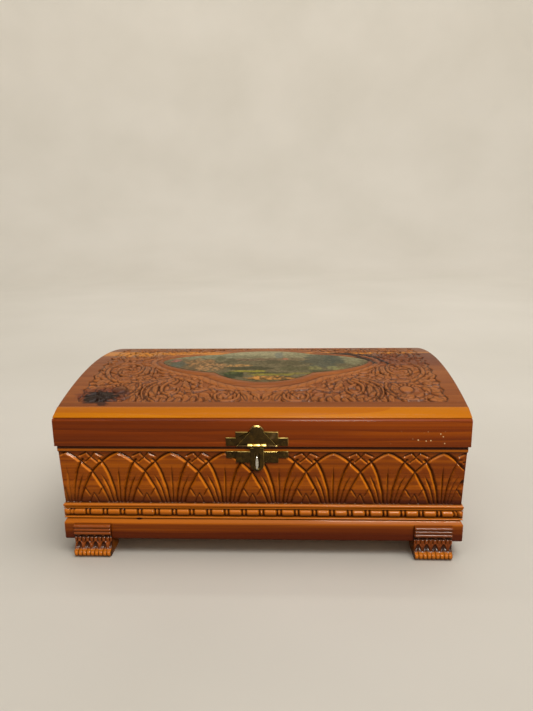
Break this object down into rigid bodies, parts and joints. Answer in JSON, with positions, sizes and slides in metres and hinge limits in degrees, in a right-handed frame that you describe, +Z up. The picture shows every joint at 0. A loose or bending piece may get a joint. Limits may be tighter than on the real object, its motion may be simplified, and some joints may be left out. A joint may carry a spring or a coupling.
{
  "type": "jewelry box",
  "caption": "Carved cedar jewelry box on four scroll feet, with a hinged arched lid, an inlaid landscape picture, a brass hasp clasp and a mirror inside the lid.",
  "frame": {"origin": "bottom centre of the bounding box, on the surface that the feet stand on", "axes": "+X to the right along the box's length, +Y towards the hinges at the back, +Z up"},
  "size_m": [0.292, 0.219, 0.1204],
  "materials": {
    "cedar_body": "satin",
    "cedar_back": "satin",
    "cedar_foot": "gloss",
    "cedar_rail": "gloss",
    "cedar_panel": "satin",
    "sapwood_strip": "gloss",
    "bottom_board": "matte",
    "inner_strip": "satin",
    "picture": "gloss",
    "mirror_glass": "polished",
    "clasp_brass": "aged",
    "bright_brass": "polished",
    "hook_steel": "polished",
    "hinge_brass": "aged"
  },
  "bodies": {
    "body": {"body_front": "cedar_body", "body_back": "cedar_back", "body_left_end": "cedar_body", "body_right_end": "cedar_body", "bottom_panel": "bottom_board", "bottom_brads": "hook_steel", "foot_front_left": "cedar_foot", "foot_front_right": "cedar_foot", "foot_back_left": "cedar_foot", "foot_back_right": "cedar_foot", "catch_plate": "clasp_brass", "catch_hook": "hook_steel", "clasp_nails_body": "bright_brass", "hinge_left_body_leaf": "hinge_brass", "hinge_left_pin": "hinge_brass", "hinge_right_body_leaf": "hinge_brass", "hinge_right_pin": "hinge_brass", "hinge_nails_body": "hinge_brass"},
    "lid": {"lid_front_rail": "cedar_rail", "lid_back_rail": "cedar_rail", "lid_left_rail": "cedar_rail", "lid_right_rail": "cedar_rail", "lid_panel": "cedar_panel", "lid_front_strip": "sapwood_strip", "lid_back_strip": "sapwood_strip", "picture_print": "picture", "mirror": "mirror_glass", "mirror_strip_front": "inner_strip", "mirror_strip_back": "inner_strip", "mirror_strip_left": "inner_strip", "mirror_strip_right": "inner_strip", "clasp_lid_plate": "clasp_brass", "clasp_pin": "bright_brass", "clasp_nails_lid": "bright_brass", "hinge_left_lid_leaf": "hinge_brass", "hinge_right_lid_leaf": "hinge_brass", "hinge_nails_lid": "hinge_brass"},
    "hasp": {"hasp_flap": "clasp_brass"}
  },
  "joints": [
    {"name": "lid_hinge", "type": "hinge", "parent": "body", "child": "lid", "pos_m": [0, 0.106, 0.0843], "axis": [-1, 0, 0], "range_deg": [0, 100]},
    {"name": "hasp_hinge", "type": "hinge", "parent": "lid", "child": "hasp", "pos_m": [-0.002, -0.1055, 0.0859], "axis": [-1, 0, 0], "range_deg": [0, 120]}
  ]
}
